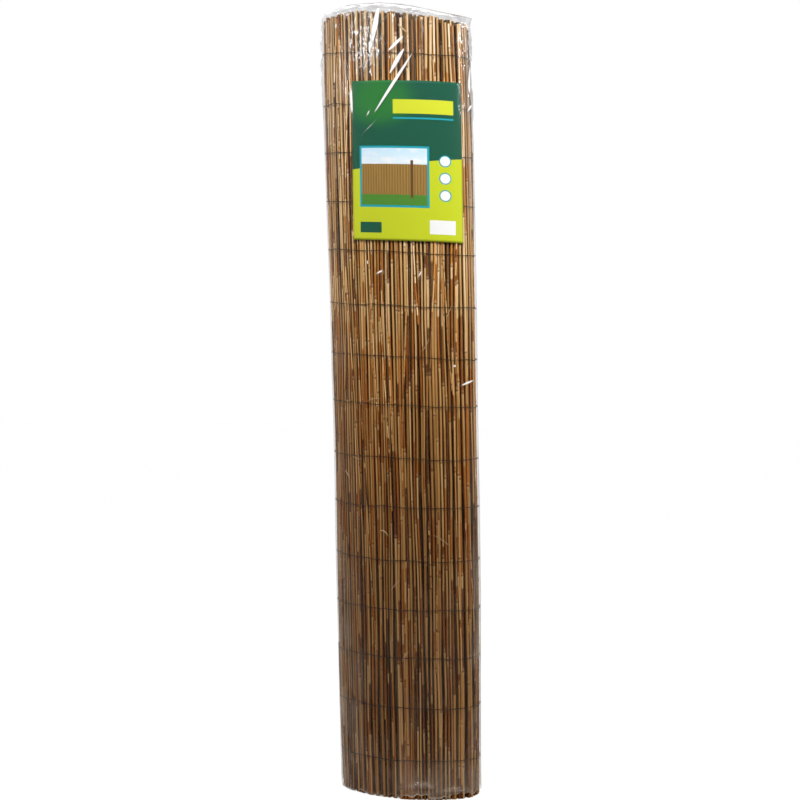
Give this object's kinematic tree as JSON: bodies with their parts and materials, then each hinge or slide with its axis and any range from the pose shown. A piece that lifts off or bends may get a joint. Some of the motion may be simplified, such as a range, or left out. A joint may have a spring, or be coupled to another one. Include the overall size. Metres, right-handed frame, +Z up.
{
  "type": "rolled reed screen",
  "caption": "Reed fence screen rolled into a flattened bundle, bound by rows of thin wire and standing on end in a clear film sleeve with an insert card.",
  "frame": {"origin": "middle of the roll's oval, on the surface that the reed ends stand on", "axes": "+Z up along the reeds, X along the oval's long way, -Y towards the front with the insert card"},
  "size_m": [0.3014, 0.1562, 1.5188],
  "materials": {
    "reed": "dry natural reed, matt to satin",
    "wire": "dark annealed wire",
    "card": "printed sheet, semi-gloss",
    "film": "clear polythene film, glossy and creased"
  },
  "bodies": {
    "root": {"reed_roll": "reed", "binding_wire_01": "wire", "binding_wire_02": "wire", "binding_wire_03": "wire", "binding_wire_04": "wire", "binding_wire_05": "wire", "binding_wire_06": "wire", "binding_wire_07": "wire", "binding_wire_08": "wire", "binding_wire_09": "wire", "binding_wire_10": "wire", "binding_wire_11": "wire", "binding_wire_12": "wire", "binding_wire_13": "wire", "binding_wire_14": "wire", "binding_wire_15": "wire", "insert_card": "card", "film_sleeve": "film"}
  },
  "joints": []
}
